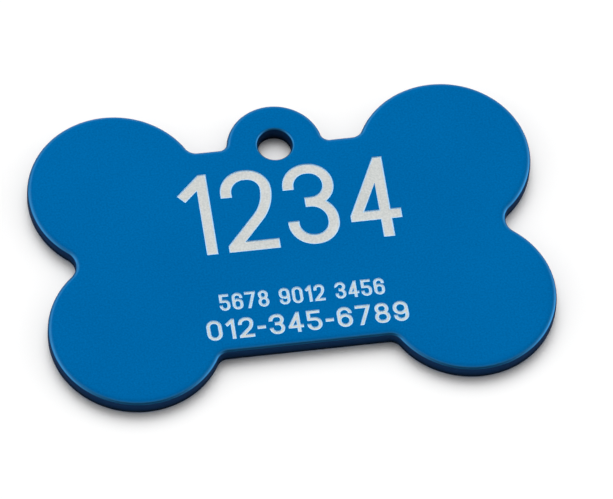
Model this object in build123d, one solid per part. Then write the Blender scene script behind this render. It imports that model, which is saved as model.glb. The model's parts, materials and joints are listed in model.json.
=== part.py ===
from build123d import *

import os
from math import radians, tan

# Bone-shaped pet id tag: a punched aluminium plate under a dyed anodised coat, with engraved numerals.
# Millimetres. The tag lies on its rear face at Z 0, with the engraved face up.
# X runs along the bone, and Y points to the tab with the ring hole.

# Plate
LENGTH = 38.0
LOBE_RADIUS = 6.55
LOBE_Y = 6.0
WAIST_TOP_Y = 8.6
WAIST_BOTTOM_Y = -8.85
THICKNESS = 1.3
EDGE_ROUNDING = 0.45

# Inner corners of the outline
END_NOTCH_ROUNDING = 1.3
WAIST_CORNER_ROUNDING = 0.95
TAB_CORNER_ROUNDING = 0.65

# Tab and ring hole
TAB_RADIUS = 3.65
TAB_Y = 8.4
HOLE_RADIUS = 1.25
HOLE_Y = 8.55
HOLE_EDGE_ROUNDING = 0.25

# Anodised coat and engraving
COAT_THICKNESS = 0.025
ENGRAVING_DEPTH = 0.06

LOBE_X = LENGTH / 2 - LOBE_RADIUS
# The engraving's cutter stands out of the face by as much as it goes in
CUTTER_HEIGHT = 2 * ENGRAVING_DEPTH
# Places nearer than this are the same place
SAME_PLACE = 1e-6

# Engraved lines: text, height of the numerals, their width, the pen, the gap between them,
# the bottom of the line, and the middle of the line
NUMBER_LINES = [
    dict(text="1234", height=7.0, width=3.85, pen=0.84, gap=0.85, bottom=-0.45, middle=0.3),
    dict(text="5678 9012 3456", height=1.42, width=0.8, pen=0.23, gap=0.17, bottom=-5.35, middle=0.1),
    dict(text="012-345-6789", height=1.72, width=1.14, pen=0.28, gap=0.26, bottom=-7.8, middle=0.2),
]
NARROW_WIDTHS = {"1": 0.62, "-": 0.55, " ": 0.55}

# Corners of each numeral's strokes: across and up its cell, from 0 to 1, and 1 where the corner is soft
# or 0 where it is sharp. A stroke that comes back to its first corner is closed.
NUMERAL_STROKES = {
    "0": [[(0, 0, 1), (0, 1, 1), (1, 1, 1), (1, 0, 1), (0, 0, 1)]],
    "1": [[(0.1, 0.79, 0), (1, 1, 0), (1, 0, 0)]],
    "2": [[(0, 0.77, 0), (0, 1, 1), (1, 1, 1), (1, 0.55, 1), (0, 0, 0), (1, 0, 0)]],
    "3": [
        [(0, 0.79, 0), (0, 1, 1), (1, 1, 1), (1, 0.53, 1), (0.5, 0.53, 0)],
        [(0.5, 0.53, 0), (1, 0.53, 1), (1, 0, 1), (0, 0, 1), (0, 0.21, 0)],
    ],
    "4": [[(1, 0.25, 0), (0, 0.25, 0), (0.74, 1, 0), (0.74, 0.6, 0)], [(0.74, 0.8, 0), (0.74, 0, 0)]],
    "5": [[(0.9, 1, 0), (0.05, 1, 0), (0.05, 0.58, 0), (1, 0.58, 1), (1, 0, 1), (0, 0, 1), (0, 0.21, 0)]],
    "6": [
        [(0, 0, 1), (0, 0.6, 1), (1, 0.6, 1), (1, 0, 1), (0, 0, 1)],
        [(0, 0.3, 0), (0, 1, 1), (1, 1, 1), (1, 0.79, 0)],
    ],
    "7": [[(0, 1, 0), (1, 1, 0), (0.27, -0.06, 0)]],
    "8": [
        [(0.06, 0.53, 1), (0.06, 1, 1), (0.94, 1, 1), (0.94, 0.53, 1), (0.06, 0.53, 1)],
        [(0, 0, 1), (0, 0.53, 1), (1, 0.53, 1), (1, 0, 1), (0, 0, 1)],
    ],
    "9": [
        [(0, 0.4, 1), (0, 1, 1), (1, 1, 1), (1, 0.4, 1), (0, 0.4, 1)],
        [(1, 0.7, 0), (1, 0, 1), (0, 0, 1), (0, 0.21, 0)],
    ],
    "-": [[(0, 0.42, 0), (1, 0.42, 0)]],
}
ROUNDING_SHARE = 0.98


def bone_outline(inset):
    """The tag's outline without its hole, drawn in all round by inset."""
    lobe = Circle(LOBE_RADIUS - inset)
    waist_height = WAIST_TOP_Y - WAIST_BOTTOM_Y - 2 * inset
    outline = Pos(0, (WAIST_TOP_Y + WAIST_BOTTOM_Y) / 2) * Rectangle(2 * LOBE_X, waist_height)
    outline += Pos(0, TAB_Y) * Circle(TAB_RADIUS - inset)
    for x in (-LOBE_X, LOBE_X):
        for y in (-LOBE_Y, LOBE_Y):
            outline += Pos(x, y) * lobe

    end_notches = outline.vertices().filter_by(lambda v: abs(v.X) > LOBE_X and abs(v.Y) < LOBE_Y / 2)
    outline = fillet(end_notches, END_NOTCH_ROUNDING + inset)
    waist_corners = outline.vertices().filter_by(lambda v: TAB_RADIUS < abs(v.X) < LOBE_X)
    outline = fillet(waist_corners, WAIST_CORNER_ROUNDING + inset)
    tab_corners = outline.vertices().filter_by(lambda v: abs(v.X) < TAB_RADIUS)
    return fillet(tab_corners, TAB_CORNER_ROUNDING + inset)


def is_hole_rim(edge):
    """True for the two circles where the ring hole meets the faces."""
    return edge.geom_type == GeomType.CIRCLE and abs(edge.arc_center.Y - HOLE_Y) < SAME_PLACE


def tag_body(inset):
    """The whole tag as one solid, drawn in all round by inset."""
    height = THICKNESS - 2 * inset
    body = Pos(0, 0, inset) * extrude(bone_outline(inset), height)
    levels = body.edges().group_by(Axis.Z)
    body = fillet(levels[0] + levels[-1], EDGE_ROUNDING - inset)
    body -= Pos(0, HOLE_Y, THICKNESS / 2) * Cylinder(HOLE_RADIUS + inset, THICKNESS)
    return fillet(body.edges().filter_by(is_hole_rim), HOLE_EDGE_ROUNDING - inset)


def pen_path(points, softness, pen):
    """A pen's path through points, with each soft corner as round as the runs beside it allow.
    An open path runs on past its ends by half the pen, as a square end does."""
    closed = points[0] == points[-1]
    if closed:
        points = points[:-1]
    else:
        first = points[0] + (points[0] - points[1]).normalized() * pen / 2
        last = points[-1] + (points[-1] - points[-2]).normalized() * pen / 2
        points = [first] + points[1:-1] + [last]
    count = len(points)
    if count == 2:
        return Line(points)
    corners = range(count) if closed else range(1, count - 1)
    roundings = []
    for i in corners:
        before = points[i] - points[i - 1]
        after = points[(i + 1) % count] - points[i]
        room_before = before.length / (1 if not closed and i == 1 else 2)
        room_after = after.length / (1 if not closed and i == count - 2 else 2)
        turn = radians(before.get_angle(after))
        roundings.append(softness[i] * ROUNDING_SHARE * min(room_before, room_after) / tan(turn / 2))
    return FilletPolyline(points, radius=roundings, close=closed)


def numeral(character, width, height, pen):
    """One numeral drawn with a pen, in a cell whose lower left corner is the origin."""
    shape = Sketch()
    for corners in NUMERAL_STROKES[character]:
        points = [Vector(pen / 2 + x * (width - pen), pen / 2 + y * (height - pen)) for x, y, _ in corners]
        softness = [soft for _, _, soft in corners]
        shape += trace(pen_path(points, softness, pen), pen)
    cell = Pos(width / 2, height / 2) * Rectangle(width, height)
    return shape & cell


def number_line(text, height, width, pen, gap, bottom, middle):
    """One engraved line of numerals, centred on middle, standing on bottom."""
    widths = [width * NARROW_WIDTHS.get(character, 1.0) for character in text]
    x = middle - (sum(widths) + gap * (len(text) - 1)) / 2
    line = Sketch()
    for character, cell_width in zip(text, widths):
        if character != " ":
            line += Pos(x, bottom) * numeral(character, cell_width, height, pen)
        x += cell_width + gap
    return line


def engraving_cutter():
    """What the engraving takes away, from its floor to above the face."""
    cutter = Part()
    for line in NUMBER_LINES:
        cutter += extrude(number_line(**line), CUTTER_HEIGHT)
    return Pos(0, 0, THICKNESS - ENGRAVING_DEPTH) * cutter


plate = tag_body(COAT_THICKNESS)
cutter = engraving_cutter()
nodes = {
    "aluminium_blank": plate - cutter,
    "anodised_coat": tag_body(0) - plate - cutter,
}

os.makedirs("parts", exist_ok=True)
for name, shape in nodes.items():
    shape.label = name
    export_step(shape, f"parts/{name}.step")
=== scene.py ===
import json
from math import atan2, ceil, cos, pi, radians, sin, sqrt, tau

import bmesh
import bpy
from mathutils import Matrix, Vector


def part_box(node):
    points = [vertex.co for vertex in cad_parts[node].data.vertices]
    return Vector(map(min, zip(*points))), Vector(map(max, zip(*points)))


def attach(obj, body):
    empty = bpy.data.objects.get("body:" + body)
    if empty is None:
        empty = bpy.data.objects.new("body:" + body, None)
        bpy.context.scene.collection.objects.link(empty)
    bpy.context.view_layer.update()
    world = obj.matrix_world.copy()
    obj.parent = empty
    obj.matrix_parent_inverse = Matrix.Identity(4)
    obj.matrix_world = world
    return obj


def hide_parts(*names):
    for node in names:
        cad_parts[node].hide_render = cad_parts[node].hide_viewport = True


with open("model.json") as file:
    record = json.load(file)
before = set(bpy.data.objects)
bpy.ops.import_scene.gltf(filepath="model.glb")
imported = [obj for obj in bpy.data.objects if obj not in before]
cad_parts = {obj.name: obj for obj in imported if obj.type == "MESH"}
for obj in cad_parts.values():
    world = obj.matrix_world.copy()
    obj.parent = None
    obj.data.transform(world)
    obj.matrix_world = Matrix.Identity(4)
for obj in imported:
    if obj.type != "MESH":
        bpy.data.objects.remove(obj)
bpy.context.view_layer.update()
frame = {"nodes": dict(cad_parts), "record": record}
scene = bpy.context.scene

# Colours, linear
WHITE = (1.0, 1.0, 1.0, 1.0)
FACE_BLUE = (0.0, 0.103, 0.29, 1.0)
FACE_BLUE_DEEP = (0.0, 0.079, 0.236, 1.0)
# The shoulders' paler blue is a painted highlight: a lighter copy of the face's blue for the pale shine
# along the rounded edges
SHOULDER_PAINTED_HIGHLIGHT_BLUE = (0.026, 0.24, 0.555, 1.0)
# The walls' blues are painted shade: darker copies of the face's blue, the second one for the wall's foot,
# where the table's shadow falls
WALL_PAINTED_SHADE_BLUE = (0.0028, 0.028, 0.088, 1.0)
WALL_FOOT_PAINTED_SHADE_BLUE = (0.0015, 0.006, 0.013, 1.0)
EDGE_TINT = (0.04, 0.12, 0.22, 1.0)
CUT_WHITE = (0.47, 0.72, 0.95, 1.0)
METAL_LIGHT = (0.685, 0.70, 0.685, 1.0)
METAL_DARK = (0.525, 0.55, 0.54, 1.0)

# Finishes of the face, the shoulders, the walls, the bare metal and the table
FACE_METALLIC = 0.4
SHOULDER_METALLIC = 1.0
WALL_METALLIC = 0.2
FACE_ROUGHNESS = 0.5
SHOULDER_ROUGHNESS = 0.3
WALL_ROUGHNESS = 0.45
METAL_ROUGHNESS = 0.5
TABLE_ROUGHNESS = 0.9
FACE_CLEAR = 0.0
SHOULDER_CLEAR = 0.3
WALL_CLEAR = 0.08
CLEAR_ROUGHNESS = 0.15

# Grain: how many of its marks fit in a metre, how much finer detail they carry, how far each kind of mark
# sways the shade, where the shade starts from, how far the grain sways the roughness, how high it stands in
# metres, and how much of that height shows
GRAIN_PER_METRE = 7000.0
CLOUD_PER_METRE = 90.0
PITS_PER_METRE = 500.0
FACE_DETAIL = 2.0
METAL_GRAIN_DETAIL = 4.0
PITS_DETAIL = 3.0
FACE_GRAIN_SWAY = 2.4
FACE_CLOUD_SWAY = 0.6
FACE_SHADE_START = -1.0
METAL_GRAIN_SWAY = 1.6
METAL_PITS_SWAY = 0.6
METAL_SHADE_START = -0.6
FACE_ROUGHNESS_SWAY = 0.06
METAL_ROUGHNESS_SWAY = 0.2
GRAIN_HEIGHT = 0.00001
FACE_RELIEF = 0.12
METAL_RELIEF = 0.3

# Where one finish passes into the next: the upright share of the surface's direction, 1 on the face and 0
# on a wall, and the heights in millimetres between which the wall's painted shade darkens downwards
SHOULDER_UPRIGHT = (0.996, 0.88)
WALL_UPRIGHT = (0.8, 0.45)
WALL_PAINTED_SHADE_HEIGHTS = (0.9, 0.1)

# Camera: the photograph's view of the tag, in metres and degrees
PHOTO_WIDTH_PX = 613
FOCAL_LENGTH_PX = 7000
SENSOR_WIDTH_MM = 36.0
CAMERA_AZIMUTH = -12.704
CAMERA_ELEVATION = 58.936
CAMERA_ROLL = 4.962
CAMERA_DISTANCE = 0.52075
CAMERA_TARGET = Vector((0.001018, -0.000796, 0.0012))

# Studio light, from the sky: a broad soft key behind the tag, pale walls to its sides, and little from
# the front. Azimuth runs from the tab's side to the right.
KEY_AZIMUTH = 4.0
KEY_ELEVATION = 54.0
KEY_TIGHTNESS = 10.0
KEY_STRENGTH = 5.36
SIDE_TIGHTNESS = 4.0
SIDE_STRENGTH = 1.9
FILL_STRENGTH = 0.09
TABLE_SIDE = 12.0

# Kinds of line that the tag is made from
OUTLINE, HOLE, ENGRAVING = range(3)

# Tag, in millimetres: the plate's box and the ring hole come from the frame
MM = 0.001
plate_low, plate_high = [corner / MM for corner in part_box("anodised_coat")]
ring_hole = next(mount for mount in frame["record"]["mounts"] if mount["name"] == "ring_hole")
THICKNESS = plate_high.z - plate_low.z
LOBE_RADIUS = 6.55
LOBE_X = plate_high.x - LOBE_RADIUS
LOBE_Y = plate_high.y - LOBE_RADIUS
WAIST_TOP_Y = 8.6
WAIST_BOTTOM_Y = -8.85
END_NOTCH_ROUNDING = 1.3
WAIST_CORNER_ROUNDING = 0.95
TAB_RADIUS = 3.65
TAB_Y = 8.4
TAB_CORNER_ROUNDING = 0.65
HOLE_RADIUS = ring_hole["dims"]["r_mm"]
HOLE_CENTRE = Vector(ring_hole["pos_m"]).to_2d() / MM

# Edges: the punched face rolls over towards the edge, and squareness says how tightly it turns there
EDGE_ROLL = 0.95
EDGE_SQUARENESS = 4.5
HOLE_ROLL = 0.34
HOLE_SQUARENESS = 3.2
REAR_SQUARENESS = 7.0
EDGE_STEPS = 32
ARC_STEP = radians(3.0)

# Engraving: the coat's cut edge slopes in, and the pocket's wall slopes on to the floor
COAT_THICKNESS = 0.025
ENGRAVING_DEPTH = 0.06
COAT_CUT_WIDTH = 0.016
POCKET_WALL_WIDTH = 0.034
BRIGHT_RIM_WIDTH = 0.075
LONGEST_MITRE = 2.0
WELD = 0.0004
SHORTEST_STEP = 0.016
CORNER_TURN = radians(25.0)
CORNER_ROOM = 0.11
CREASE_ANGLE = radians(32.0)


def add_camera():
    """A long lens above the near edge, turned a little about its own axis."""
    azimuth = radians(CAMERA_AZIMUTH)
    elevation = radians(CAMERA_ELEVATION)
    roll = radians(CAMERA_ROLL)
    back = Vector((sin(azimuth) * cos(elevation), -cos(azimuth) * cos(elevation), sin(elevation)))
    right = Vector((0, 0, 1)).cross(back).normalized()
    up = back.cross(right)
    rolled_right = right * cos(roll) + up * sin(roll)
    rolled_up = up * cos(roll) - right * sin(roll)
    data = bpy.data.cameras.new("photo_camera")
    data.sensor_width = SENSOR_WIDTH_MM
    data.sensor_fit = "HORIZONTAL"
    data.lens = FOCAL_LENGTH_PX / PHOTO_WIDTH_PX * SENSOR_WIDTH_MM
    camera = bpy.data.objects.new("photo_camera", data)
    axes = Matrix((rolled_right, rolled_up, back)).transposed()
    camera.matrix_world = Matrix.Translation(CAMERA_TARGET + back * CAMERA_DISTANCE) @ axes.to_4x4()
    scene.collection.objects.link(camera)
    scene.camera = camera


class NodeDesk:
    """Adds nodes to one tree and joins their sockets."""

    def __init__(self, tree):
        self.tree = tree

    def add(self, kind, inputs=None, **settings):
        """A node of this kind. An input is a value, or a socket of another node to join to it."""
        node = self.tree.nodes.new(kind)
        for name, value in settings.items():
            setattr(node, name, value)
        for key, value in (inputs or {}).items():
            socket = node.inputs[key]
            if isinstance(value, bpy.types.NodeSocket):
                self.tree.links.new(value, socket)
            else:
                socket.default_value = value
        return node

    def math(self, operation, first, second=0.0, third=0.0):
        """Arithmetic on numbers."""
        node = self.add("ShaderNodeMath", {0: first, 1: second, 2: third}, operation=operation)
        return node.outputs[0]

    def whole(self, operation, first, second):
        """Arithmetic on whole numbers."""
        return self.add("FunctionNodeIntegerMath", {0: first, 1: second}, operation=operation).outputs[0]

    def vector(self, operation, first, second):
        """Arithmetic on vectors."""
        return self.add("ShaderNodeVectorMath", {0: first, 1: second}, operation=operation).outputs[0]

    def scaled(self, vector, scale):
        """A vector made longer or shorter."""
        node = self.add("ShaderNodeVectorMath", {0: vector, "Scale": scale}, operation="SCALE")
        return node.outputs[0]

    def raised(self, height):
        """The vector that lifts a point by height."""
        return self.add("ShaderNodeCombineXYZ", {"Z": height}).outputs[0]

    def outward(self):
        """The outward direction that each point of the tag's lines carries."""
        node = self.add("GeometryNodeInputNamedAttribute", {"Name": "outward"}, data_type="FLOAT_VECTOR")
        return node.outputs[0]

    def joined(self, *parts):
        """Several meshes as one."""
        node = self.add("GeometryNodeJoinGeometry")
        for part in parts:
            self.tree.links.new(part, node.inputs[0])
        return node.outputs[0]


def light_studio():
    """One sky that lights the tag and the table alike, wherever they are seen from."""
    world = bpy.data.worlds.new("studio")
    scene.world = world
    world.use_nodes = True
    desk = NodeDesk(world.node_tree)
    direction = desk.add("ShaderNodeTexCoord").outputs["Generated"]
    azimuth = radians(KEY_AZIMUTH)
    elevation = radians(KEY_ELEVATION)
    key_axis = (sin(azimuth) * cos(elevation), cos(azimuth) * cos(elevation), sin(elevation))
    towards_key = desk.add("ShaderNodeVectorMath", {0: direction, 1: key_axis}, operation="DOT_PRODUCT")
    key = desk.math("POWER", desk.math("MAXIMUM", towards_key.outputs["Value"], 0.0), KEY_TIGHTNESS)
    sideways = desk.add("ShaderNodeSeparateXYZ", {0: direction}).outputs["X"]
    sides = desk.math("POWER", desk.math("ABSOLUTE", sideways), SIDE_TIGHTNESS)
    lit_sides = desk.math("MULTIPLY_ADD", sides, SIDE_STRENGTH, FILL_STRENGTH)
    strength = desk.math("MULTIPLY_ADD", key, KEY_STRENGTH, lit_sides)
    background = world.node_tree.nodes["Background"]
    background.inputs["Color"].default_value = WHITE
    world.node_tree.links.new(strength, background.inputs["Strength"])


def lay_table():
    """The white table that the tag lies on."""
    mesh = bpy.data.meshes.new("table")
    reach = TABLE_SIDE / 2
    corners = [(-reach, -reach, 0), (reach, -reach, 0), (reach, reach, 0), (-reach, reach, 0)]
    mesh.from_pydata(corners, [], [(0, 1, 2, 3)])
    table = bpy.data.objects.new("table", mesh)
    scene.collection.objects.link(table)
    mesh.materials.append(table_white())


def new_material(name, inputs):
    """A material with a desk for its nodes and its shader, whose fixed inputs are set."""
    material = bpy.data.materials.new(name)
    material.use_nodes = True
    shader = material.node_tree.nodes["Principled BSDF"]
    for key, value in inputs.items():
        shader.inputs[key].default_value = value
    return material, NodeDesk(material.node_tree), shader


def table_white():
    """Matt white board."""
    material, _, _ = new_material("table_white", {
        "Base Color": WHITE, "Roughness": TABLE_ROUGHNESS, "Specular IOR Level": 0.0,
    })
    return material


def noise(desk, per_metre, detail):
    """Noise fixed to the object, between 0 and 1."""
    place = desk.add("ShaderNodeTexCoord").outputs["Object"]
    node = desk.add("ShaderNodeTexNoise", {"Vector": place, "Scale": per_metre, "Detail": detail})
    return node.outputs[0]


def between(desk, value, start, end):
    """Runs smoothly from 0 to 1 while value goes from start to end."""
    node = desk.add("ShaderNodeMapRange", {
        "Value": value, "From Min": start, "From Max": end,
    }, interpolation_type="SMOOTHSTEP")
    return node.outputs[0]


def mixed(desk, share, first, second):
    """From the first colour to the second."""
    return desk.add("ShaderNodeMix", {0: share, 6: first, 7: second}, data_type="RGBA").outputs[2]


def blended(desk, share, first, second):
    """From the first number to the second."""
    return desk.add("ShaderNodeMix", {0: share, 2: first, 3: second}, data_type="FLOAT").outputs[0]


def upward(desk, coordinate):
    """The upward part of a place or direction on the object."""
    vector = desk.add("ShaderNodeTexCoord").outputs[coordinate]
    return desk.add("ShaderNodeSeparateXYZ", {0: vector}).outputs["Z"]


def cut_mark(desk):
    """1 on the faces that the engraving cut, 0 elsewhere."""
    return desk.add("ShaderNodeAttribute", attribute_name="cut").outputs["Fac"]


def relief(desk, height, strength):
    """The surface's direction, roughened by the grain."""
    node = desk.add("ShaderNodeBump", {"Strength": strength, "Distance": GRAIN_HEIGHT, "Height": height})
    return node.outputs[0]


def link_sockets(desk, node, values):
    """Joins each value to the node's input of that name."""
    for name, value in values.items():
        desk.tree.links.new(value, node.inputs[name])


def satin_blue():
    """Dyed anodised aluminium: a satin face with fine grain, and burnished shoulders under a clear seal,
    whose paler blue is a painted highlight. The sheared walls' darker blue is painted shade, darker still
    towards the rear face, where the table's shadow falls."""
    material, desk, shader = new_material("satin_blue", {
        "Specular IOR Level": 0.0, "Specular Tint": EDGE_TINT, "Coat Roughness": CLEAR_ROUGHNESS,
    })
    upright = desk.math("ABSOLUTE", upward(desk, "Normal"))
    shoulder = between(desk, upright, *SHOULDER_UPRIGHT)
    wall = between(desk, upright, *WALL_UPRIGHT)
    # Painted shade: the wall's blue darkens from its top down to its foot by the table, between these
    # heights
    wall_top, wall_foot = WALL_PAINTED_SHADE_HEIGHTS
    low = between(desk, upward(desk, "Object"), wall_top * MM, wall_foot * MM)
    cut = cut_mark(desk)
    uncut = desk.math("SUBTRACT", 1.0, cut)
    grain = noise(desk, GRAIN_PER_METRE, FACE_DETAIL)
    cloud = noise(desk, CLOUD_PER_METRE, FACE_DETAIL)
    clouded = desk.math("MULTIPLY_ADD", cloud, FACE_CLOUD_SWAY, FACE_SHADE_START)
    shade = desk.math("MULTIPLY_ADD", grain, FACE_GRAIN_SWAY, clouded)

    def by_zone(mix, face_value, shoulder_value, wall_value):
        """One value on the face, another on the shoulders and another on the walls."""
        return mix(desk, wall, mix(desk, shoulder, face_value, shoulder_value), wall_value)

    face_blue = mixed(desk, shade, FACE_BLUE_DEEP, FACE_BLUE)
    # The shoulders take the painted highlight blue, and the walls the painted shade blues
    blue = by_zone(mixed, face_blue, SHOULDER_PAINTED_HIGHLIGHT_BLUE, mixed(desk, low, WALL_PAINTED_SHADE_BLUE, WALL_FOOT_PAINTED_SHADE_BLUE))
    roughness = by_zone(blended, FACE_ROUGHNESS, SHOULDER_ROUGHNESS, WALL_ROUGHNESS)
    smoothest = desk.math("SUBTRACT", roughness, FACE_ROUGHNESS_SWAY / 2)
    metallic = by_zone(blended, FACE_METALLIC, SHOULDER_METALLIC, WALL_METALLIC)
    clear = by_zone(blended, FACE_CLEAR, SHOULDER_CLEAR, WALL_CLEAR)
    link_sockets(desk, shader, {
        "Base Color": mixed(desk, cut, blue, CUT_WHITE),
        "Roughness": desk.math("MULTIPLY_ADD", grain, FACE_ROUGHNESS_SWAY, smoothest),
        "Metallic": desk.math("MULTIPLY", metallic, uncut),
        "Coat Weight": desk.math("MULTIPLY", clear, uncut),
        "Normal": relief(desk, grain, FACE_RELIEF),
    })
    return material


def bare_metal():
    """Aluminium laid bare by engraving: matt, finely pitted floors and brighter cut walls."""
    material, desk, shader = new_material("bare_metal", {"Specular IOR Level": 0.0, "Metallic": 0.0})
    grain = noise(desk, GRAIN_PER_METRE, METAL_GRAIN_DETAIL)
    pits = noise(desk, PITS_PER_METRE, PITS_DETAIL)
    pitted = desk.math("MULTIPLY_ADD", pits, METAL_PITS_SWAY, METAL_SHADE_START)
    shade = desk.math("MULTIPLY_ADD", grain, METAL_GRAIN_SWAY, pitted)
    floor = mixed(desk, between(desk, shade, 0.0, 1.0), METAL_DARK, METAL_LIGHT)
    link_sockets(desk, shader, {
        "Base Color": mixed(desk, cut_mark(desk), floor, CUT_WHITE),
        "Roughness": desk.math("MULTIPLY_ADD", grain, METAL_ROUGHNESS_SWAY, METAL_ROUGHNESS),
        "Normal": relief(desk, grain, METAL_RELIEF),
    })
    return material


def outline_rounds():
    """The circles that the outline runs round, counter-clockwise from the right end's notch:
    centre, radius, and True where the outline bulges or False where it turns in."""
    notch_x = LOBE_X + sqrt((LOBE_RADIUS + END_NOTCH_ROUNDING) ** 2 - LOBE_Y**2)
    waist_reach = LOBE_RADIUS + WAIST_CORNER_ROUNDING
    top_y = WAIST_TOP_Y + WAIST_CORNER_ROUNDING
    top_x = LOBE_X - sqrt(waist_reach**2 - (top_y - LOBE_Y) ** 2)
    low_y = WAIST_BOTTOM_Y - WAIST_CORNER_ROUNDING
    low_x = LOBE_X - sqrt(waist_reach**2 - (low_y + LOBE_Y) ** 2)
    tab_side_y = WAIST_TOP_Y + TAB_CORNER_ROUNDING
    tab_side_x = sqrt((TAB_RADIUS + TAB_CORNER_ROUNDING) ** 2 - (tab_side_y - TAB_Y) ** 2)
    return [
        (Vector((notch_x, 0)), END_NOTCH_ROUNDING, False),
        (Vector((LOBE_X, LOBE_Y)), LOBE_RADIUS, True),
        (Vector((top_x, top_y)), WAIST_CORNER_ROUNDING, False),
        (Vector((tab_side_x, tab_side_y)), TAB_CORNER_ROUNDING, False),
        (Vector((0, TAB_Y)), TAB_RADIUS, True),
        (Vector((-tab_side_x, tab_side_y)), TAB_CORNER_ROUNDING, False),
        (Vector((-top_x, top_y)), WAIST_CORNER_ROUNDING, False),
        (Vector((-LOBE_X, LOBE_Y)), LOBE_RADIUS, True),
        (Vector((-notch_x, 0)), END_NOTCH_ROUNDING, False),
        (Vector((-LOBE_X, -LOBE_Y)), LOBE_RADIUS, True),
        (Vector((-low_x, low_y)), WAIST_CORNER_ROUNDING, False),
        (Vector((low_x, low_y)), WAIST_CORNER_ROUNDING, False),
        (Vector((LOBE_X, -LOBE_Y)), LOBE_RADIUS, True),
    ]


def tangent_angle(round_here, round_beside):
    """Where the outline leaves one round for the one beside it, seen from the first one's centre.
    Two rounds that both turn in are joined by a straight run of the waist."""
    centre, _, bulges = round_here
    other_centre, _, other_bulges = round_beside
    if not bulges and not other_bulges:
        return -pi / 2 if centre.y > 0 else pi / 2
    towards = other_centre - centre
    return atan2(towards.y, towards.x)


def outline_loop():
    """The tag's outline as points, each with its outward direction."""
    rounds = outline_rounds()
    loop = []
    for here, (centre, radius, bulges) in enumerate(rounds):
        after = rounds[(here + 1) % len(rounds)]
        first = tangent_angle(rounds[here], rounds[here - 1])
        last = tangent_angle(rounds[here], after)
        turn = (last - first) % tau if bulges else -((first - last) % tau)
        steps = ceil(abs(turn) / ARC_STEP)
        straight_after = not bulges and not after[2]
        for step in range(steps + 1 if straight_after else steps):
            angle = first + turn * step / steps
            direction = Vector((cos(angle), sin(angle)))
            loop.append((centre + direction * radius, direction if bulges else -direction))
    return loop


def hole_loop():
    """The ring hole's wall as points, clockwise, each with the direction into the hole."""
    steps = ceil(tau / ARC_STEP)
    loop = []
    for step in range(steps):
        angle = -tau * step / steps
        direction = Vector((cos(angle), sin(angle)))
        loop.append((HOLE_CENTRE + direction * HOLE_RADIUS, -direction))
    return loop


def front_face_rims():
    """Every rim of the coat's flat front face, as chains of points with the face on their left."""
    merged = bmesh.new()
    merged.from_mesh(frame["nodes"]["anodised_coat"].data)
    merged.transform(Matrix.Scale(1 / MM, 4))
    bmesh.ops.remove_doubles(merged, verts=merged.verts, dist=WELD)
    merged.verts.index_update()
    merged.faces.index_update()
    flat = [face for face in merged.faces if all(v.co.z > plate_high.z - WELD for v in face.verts)]
    flat_indices = {face.index for face in flat}
    following = {}
    for face in flat:
        for corner in face.loops:
            beside = [other.index for other in corner.edge.link_faces if other is not face]
            if not flat_indices.intersection(beside):
                following[corner.vert.index] = (corner.link_loop_next.vert.index, corner.vert.co.to_2d())
    rims = []
    while following:
        index = next(iter(following))
        rim = []
        while index in following:
            index, point = following.pop(index)
            if not rim or (point - rim[-1]).length > SHORTEST_STEP:
                rim.append(point)
        rims.append(rim)
    merged.free()
    return rims


def turn_at(rim, here):
    """How sharply a rim turns at one of its points."""
    arriving = rim[here] - rim[here - 1]
    leaving = rim[(here + 1) % len(rim)] - rim[here]
    return arriving.angle(leaving)


def with_clear_corners(rim):
    """The rim without the points that crowd its corners, and with corners that nearly touch made one."""
    corners = [here for here in range(len(rim)) if turn_at(rim, here) > CORNER_TURN]
    clear = []
    for here, point in enumerate(rim):
        close = [rim[corner] for corner in corners if (rim[corner] - point).length < CORNER_ROOM]
        if here not in corners and close:
            continue
        middle = sum(close, Vector((0, 0))) / len(close) if close else point
        if middle not in clear:
            clear.append(middle)
    return clear


def with_mitres(rim):
    """The rim's points, each with the direction away from the face, as long as a mitre needs."""
    loop = []
    for here, point in enumerate(rim):
        arriving = (point - rim[here - 1]).normalized()
        leaving = (rim[(here + 1) % len(rim)] - point).normalized()
        first = Vector((arriving.y, -arriving.x))
        second = Vector((leaving.y, -leaving.x))
        mitre = (first + second) / max(1 + first.dot(second), 2 / LONGEST_MITRE**2)
        loop.append((point, mitre))
    return loop


def engraving_loops():
    """The outlines of the engraved numerals, and of the islands of coat inside them."""
    loops = []
    for rim in front_face_rims():
        reach = max(abs(point.x) for point in rim)
        round_hole = max((point - HOLE_CENTRE).length for point in rim) < 2 * HOLE_RADIUS
        if reach < LOBE_X and not round_hole:
            loops.append(with_mitres(with_clear_corners(rim)))
    return loops


def tag_lines():
    """All the lines that the tag is made from, as loose edges. Their points know the line and its outward
    direction."""
    kinds = [(OUTLINE, outline_loop()), (HOLE, hole_loop())]
    kinds += [(ENGRAVING, loop) for loop in engraving_loops()]
    points = []
    edges = []
    outward = []
    line = []
    for kind, loop in kinds:
        start = len(points)
        for step, (point, direction) in enumerate(loop):
            points.append(point.to_3d())
            edges.append((start + step, start + (step + 1) % len(loop)))
            outward.append(direction.to_3d())
            line.append(kind)
    mesh = bpy.data.meshes.new("tag_lines")
    mesh.from_pydata(points, edges, [])
    mesh.attributes.new("outward", "FLOAT_VECTOR", "POINT")
    mesh.attributes.new("line", "INT", "POINT")
    for index in range(len(points)):
        mesh.attributes["outward"].data[index].vector = outward[index]
        mesh.attributes["line"].data[index].value = line[index]
    return mesh


def new_tree(name, inputs):
    """An empty geometry tree with these named inputs and one mesh out."""
    tree = bpy.data.node_groups.new(name, "GeometryNodeTree")
    for socket_name, kind in inputs.items():
        tree.interface.new_socket(socket_name, in_out="INPUT", socket_type="NodeSocket" + kind)
    tree.interface.new_socket("Mesh", in_out="OUTPUT", socket_type="NodeSocketGeometry")
    desk = NodeDesk(tree)
    return tree, desk, desk.add("NodeGroupInput").outputs


def close_tree(desk, result):
    """Gives the tree its mesh out."""
    desk.add("NodeGroupOutput", {"Mesh": result})


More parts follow.
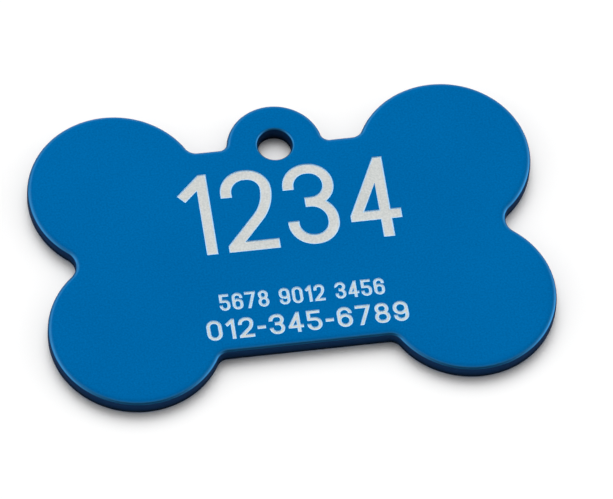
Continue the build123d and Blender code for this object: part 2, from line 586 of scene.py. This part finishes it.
def moved_line(desk, line, outward_by, height):
    """A line, moved along its outward direction and lifted."""
    move = desk.vector("ADD", desk.scaled(desk.outward(), outward_by), desk.raised(height))
    return desk.add("GeometryNodeSetPosition", {"Geometry": line, "Offset": move}).outputs[0]


def filled_lines(desk, height, *lines):
    """Flat faces between closed lines, at one height."""
    curves = desk.add("GeometryNodeMeshToCurve", {"Mesh": desk.joined(*lines)}).outputs[0]
    faces = desk.add("GeometryNodeFillCurve", {"Curve": curves}, mode="TRIANGLES").outputs[0]
    lifted = desk.add("GeometryNodeSetPosition", {"Geometry": faces, "Offset": desk.raised(height)})
    return lifted.outputs[0]


def edge_band_tree():
    """The edge of a plate along one closed line, from the rear face over the wall to the front face.
    Its section is half a superellipse, which starts on a spine inside the line."""
    tree, desk, given = new_tree("edge_band", {
        "Line": "Geometry", "Spine": "Float", "Width": "Float", "Half height": "Float",
        "Middle": "Float", "Squareness": "Float", "Rear squareness": "Float", "Steps": "Int",
    })
    size = desk.add("GeometryNodeAttributeDomainSize", {"Geometry": given["Line"]}, component="MESH")
    count = size.outputs["Point Count"]
    rows = desk.whole("ADD", given["Steps"], 1)
    grid = desk.add("GeometryNodeMeshGrid", {
        "Vertices X": desk.whole("ADD", count, 1), "Vertices Y": rows,
    })
    index = desk.add("GeometryNodeInputIndex").outputs[0]
    along = desk.whole("MODULO", desk.whole("DIVIDE", index, rows), count)
    across = desk.whole("MODULO", index, rows)

    def on_line(value):
        """A value of the line's point beside this point of the band."""
        node = desk.add("GeometryNodeSampleIndex", {
            "Geometry": given["Line"], "Value": value, "Index": along,
        }, data_type="FLOAT_VECTOR", domain="POINT")
        return node.outputs[0]

    at = on_line(desk.add("GeometryNodeInputPosition").outputs[0])
    outward = on_line(desk.outward())
    turn = desk.math("MULTIPLY_ADD", desk.math("DIVIDE", across, given["Steps"]), pi, -pi / 2)
    rise = desk.math("SINE", turn)
    squareness = desk.add("GeometryNodeSwitch", {
        0: desk.math("GREATER_THAN", rise, 0.0), 1: given["Rear squareness"], 2: given["Squareness"],
    }, input_type="FLOAT").outputs[0]
    power = desk.math("DIVIDE", 2.0, squareness)
    reach = desk.math("POWER", desk.math("MAXIMUM", desk.math("COSINE", turn), 0.0), power)
    height = desk.math("POWER", desk.math("ABSOLUTE", rise), power)
    signed_height = desk.math("MULTIPLY", height, desk.math("SIGN", rise))
    outward_by = desk.math("SUBTRACT", desk.math("MULTIPLY", reach, given["Width"]), given["Spine"])
    level = desk.math("MULTIPLY_ADD", signed_height, given["Half height"], given["Middle"])
    beside = desk.vector("ADD", at, desk.scaled(outward, outward_by))
    place = desk.vector("ADD", beside, desk.raised(level))
    band = desk.add("GeometryNodeSetPosition", {"Geometry": grid.outputs["Mesh"], "Position": place})
    close_tree(desk, band.outputs[0])
    return tree


def plate_skin_tree(edge_band):
    """The whole surface of the tag, drawn in all round by inset, open at the engraving."""
    tree, desk, given = new_tree("plate_skin", {
        "Outline": "Geometry", "Hole": "Geometry", "Engraving": "Geometry", "Inset": "Float",
        "Engraving inset": "Float", "Thickness": "Float", "Edge roll": "Float", "Edge squareness": "Float",
        "Hole roll": "Float", "Hole squareness": "Float", "Rear squareness": "Float", "Steps": "Int",
    })
    middle = desk.math("MULTIPLY", given["Thickness"], 0.5)
    half_height = desk.math("SUBTRACT", middle, given["Inset"])
    front = desk.math("SUBTRACT", given["Thickness"], given["Inset"])
    bands = []
    for line, roll, squareness in (
        ("Outline", "Edge roll", "Edge squareness"), ("Hole", "Hole roll", "Hole squareness"),
    ):
        width = desk.math("SUBTRACT", given[roll], given["Inset"])
        band = desk.add("GeometryNodeGroup", {
            "Line": given[line], "Spine": given[roll], "Width": width,
            "Half height": half_height, "Middle": middle, "Squareness": given[squareness],
            "Rear squareness": given["Rear squareness"], "Steps": given["Steps"],
        }, node_tree=edge_band)
        bands.append(band.outputs[0])

    def spine(line, roll):
        """The line inside another, where the flat face ends and the edge begins to roll."""
        return moved_line(desk, given[line], desk.math("MULTIPLY", given[roll], -1.0), 0.0)

    spines = [spine("Outline", "Edge roll"), spine("Hole", "Hole roll")]
    windows = moved_line(desk, given["Engraving"], given["Engraving inset"], 0.0)
    front_face = filled_lines(desk, front, *spines, windows)
    rear_face = filled_lines(desk, given["Inset"], *spines)
    turned = desk.add("GeometryNodeFlipFaces", {"Mesh": rear_face}).outputs[0]
    close_tree(desk, desk.joined(*bands, front_face, turned))
    return tree


def sloping_wall_tree():
    """A wall along the engraving's lines, from one inset and height to another.
    Its faces are marked as cut."""
    tree, desk, given = new_tree("sloping_wall", {
        "Engraving": "Geometry", "Upper inset": "Float", "Upper height": "Float",
        "Lower inset": "Float", "Lower height": "Float",
    })
    upper = moved_line(desk, given["Engraving"], given["Upper inset"], given["Upper height"])
    wall = desk.add("GeometryNodeExtrudeMesh", {"Mesh": upper, "Offset Scale": 0.0}, mode="EDGES")
    inwards = desk.math("SUBTRACT", given["Lower inset"], given["Upper inset"])
    down = desk.math("SUBTRACT", given["Lower height"], given["Upper height"])
    move = desk.vector("ADD", desk.scaled(desk.outward(), inwards), desk.raised(down))
    sloped = desk.add("GeometryNodeSetPosition", {
        "Geometry": wall.outputs["Mesh"], "Selection": wall.outputs["Top"], "Offset": move,
    })
    marked = desk.add("GeometryNodeStoreNamedAttribute", {
        "Geometry": sloped.outputs[0], "Name": "cut", "Value": 1.0,
    }, data_type="FLOAT", domain="FACE")
    close_tree(desk, marked.outputs[0])
    return tree


# What a piece's tree is given: the kind of each input and its value
TAG_INPUTS = {
    "Thickness": ("Float", THICKNESS), "Coat thickness": ("Float", COAT_THICKNESS),
    "Edge roll": ("Float", EDGE_ROLL), "Edge squareness": ("Float", EDGE_SQUARENESS),
    "Hole roll": ("Float", HOLE_ROLL), "Hole squareness": ("Float", HOLE_SQUARENESS),
    "Rear squareness": ("Float", REAR_SQUARENESS),
    "Coat cut width": ("Float", COAT_CUT_WIDTH), "Pocket wall width": ("Float", POCKET_WALL_WIDTH),
    "Bright rim width": ("Float", BRIGHT_RIM_WIDTH), "Engraving depth": ("Float", ENGRAVING_DEPTH),
    "Steps": ("Int", EDGE_STEPS),
}

# Those of them that the plate's skin needs
SKIN_INPUTS = (
    "Thickness", "Edge roll", "Edge squareness", "Hole roll", "Hole squareness",
    "Rear squareness", "Steps",
)


def piece_tree(name, parts_of_piece, plate_skin, sloping_wall):
    """A tree for one piece of the tag, closed all round, from the tag's lines."""
    inputs = {"Lines": "Geometry"}
    inputs.update({socket: kind for socket, (kind, _) in TAG_INPUTS.items()})
    inputs["Finish"] = "Material"
    tree, desk, given = new_tree(name, inputs)

    def line(kind):
        """The tag's lines of one kind."""
        number = desk.add("GeometryNodeInputNamedAttribute", {"Name": "line"}, data_type="INT")
        chosen = desk.add("FunctionNodeCompare", {
            2: number.outputs[0], 3: kind,
        }, data_type="INT", operation="EQUAL")
        apart = desk.add("GeometryNodeSeparateGeometry", {
            "Geometry": given["Lines"], "Selection": chosen.outputs[0],
        }, domain="POINT")
        return apart.outputs["Selection"]

    lines = {"Outline": line(OUTLINE), "Hole": line(HOLE), "Engraving": line(ENGRAVING)}

    def skin(inset, engraving_inset):
        """The tag's surface, drawn in all round by inset and at the engraving by its own inset."""
        inputs = {**lines, "Inset": inset, "Engraving inset": engraving_inset}
        inputs.update({socket: given[socket] for socket in SKIN_INPUTS})
        return desk.add("GeometryNodeGroup", inputs, node_tree=plate_skin).outputs[0]

    def wall(upper_inset, upper_height, lower_inset, lower_height):
        """A sloping wall of the engraving."""
        return desk.add("GeometryNodeGroup", {
            "Engraving": lines["Engraving"], "Upper inset": upper_inset, "Upper height": upper_height,
            "Lower inset": lower_inset, "Lower height": lower_height,
        }, node_tree=sloping_wall).outputs[0]

    parts = parts_of_piece(desk, given, lines, skin, wall)
    welded = desk.add("GeometryNodeMergeByDistance", {"Geometry": desk.joined(*parts), "Distance": WELD})
    smooth = desk.add("GeometryNodeSetShadeSmooth", {0: welded.outputs[0]}, domain="FACE")
    angle = desk.add("GeometryNodeInputMeshEdgeAngle").outputs["Unsigned Angle"]
    sharp = desk.math("GREATER_THAN", angle, CREASE_ANGLE)
    creased = desk.add("GeometryNodeSetShadeSmooth", {
        0: smooth.outputs[0], "Selection": sharp, "Shade Smooth": False,
    }, domain="EDGE")
    in_metres = desk.add("GeometryNodeTransform", {"Geometry": creased.outputs[0], "Scale": (MM, MM, MM)})
    finished = desk.add("GeometryNodeSetMaterial", {
        "Geometry": in_metres.outputs[0], "Material": given["Finish"],
    })
    close_tree(desk, finished.outputs[0])
    return tree


def coat_parts(desk, given, lines, skin, wall):
    """The coat: its outer skin, its inner skin turned round, and the cut between them."""
    under_coat = desk.math("SUBTRACT", given["Thickness"], given["Coat thickness"])
    inner = skin(given["Coat thickness"], given["Coat cut width"])
    turned = desk.add("GeometryNodeFlipFaces", {"Mesh": inner}).outputs[0]
    cut = wall(0.0, given["Thickness"], given["Coat cut width"], under_coat)
    return [skin(0.0, 0.0), turned, cut]


def blank_parts(desk, given, lines, skin, wall):
    """The blank: its skin under the coat, the pockets' walls, their bright rims and their floors."""
    under_coat = desk.math("SUBTRACT", given["Thickness"], given["Coat thickness"])
    floor_height = desk.math("SUBTRACT", given["Thickness"], given["Engraving depth"])
    pocket_walls = wall(given["Coat cut width"], under_coat, given["Pocket wall width"], floor_height)
    rims = wall(given["Pocket wall width"], floor_height, given["Bright rim width"], floor_height)
    floor_lines = moved_line(desk, lines["Engraving"], given["Bright rim width"], 0.0)
    floors = filled_lines(desk, floor_height, floor_lines)
    return [skin(given["Coat thickness"], given["Coat cut width"]), pocket_walls, rims, floors]


def grown_piece(name, tree, lines, finish):
    """The tree's result on the tag's lines, as a plain mesh piece."""
    host = bpy.data.objects.new(name + "_lines", lines)
    scene.collection.objects.link(host)
    modifier = host.modifiers.new("grow", "NODES")
    modifier.node_group = tree
    values = {socket: value for socket, (_, value) in TAG_INPUTS.items()}
    values["Finish"] = finish
    for item in tree.interface.items_tree:
        if item.in_out == "INPUT" and item.name in values:
            modifier[item.identifier] = values[item.name]
    seen = bpy.context.evaluated_depsgraph_get()
    mesh = bpy.data.meshes.new_from_object(host.evaluated_get(seen), depsgraph=seen)
    mesh.name = name
    for attribute in ("line", "outward"):
        mesh.attributes.remove(mesh.attributes[attribute])
    if mesh.materials[0] is None:
        mesh.materials.pop(index=0)
    host.modifiers.remove(modifier)
    bpy.data.objects.remove(host)
    piece = bpy.data.objects.new(name, mesh)
    scene.collection.objects.link(piece)
    return piece


def build_tag():
    """The dyed coat and the engraved blank under it, each in the place of its solid."""
    lines = tag_lines()
    plate_skin = plate_skin_tree(edge_band_tree())
    sloping_wall = sloping_wall_tree()
    for name, parts, finish, node, slot in (
        ("dyed_coat", coat_parts, satin_blue(), "anodised_coat", "blue_anodised"),
        ("engraved_blank", blank_parts, bare_metal(), "aluminium_blank", "engraved_aluminium"),
    ):
        piece = grown_piece(name, piece_tree(name, parts, plate_skin, sloping_wall), lines, finish)
        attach(piece, "root")
        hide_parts(node)
    bpy.data.meshes.remove(lines)


add_camera()
scene.view_settings.view_transform = "Standard"
light_studio()
lay_table()
build_tag()
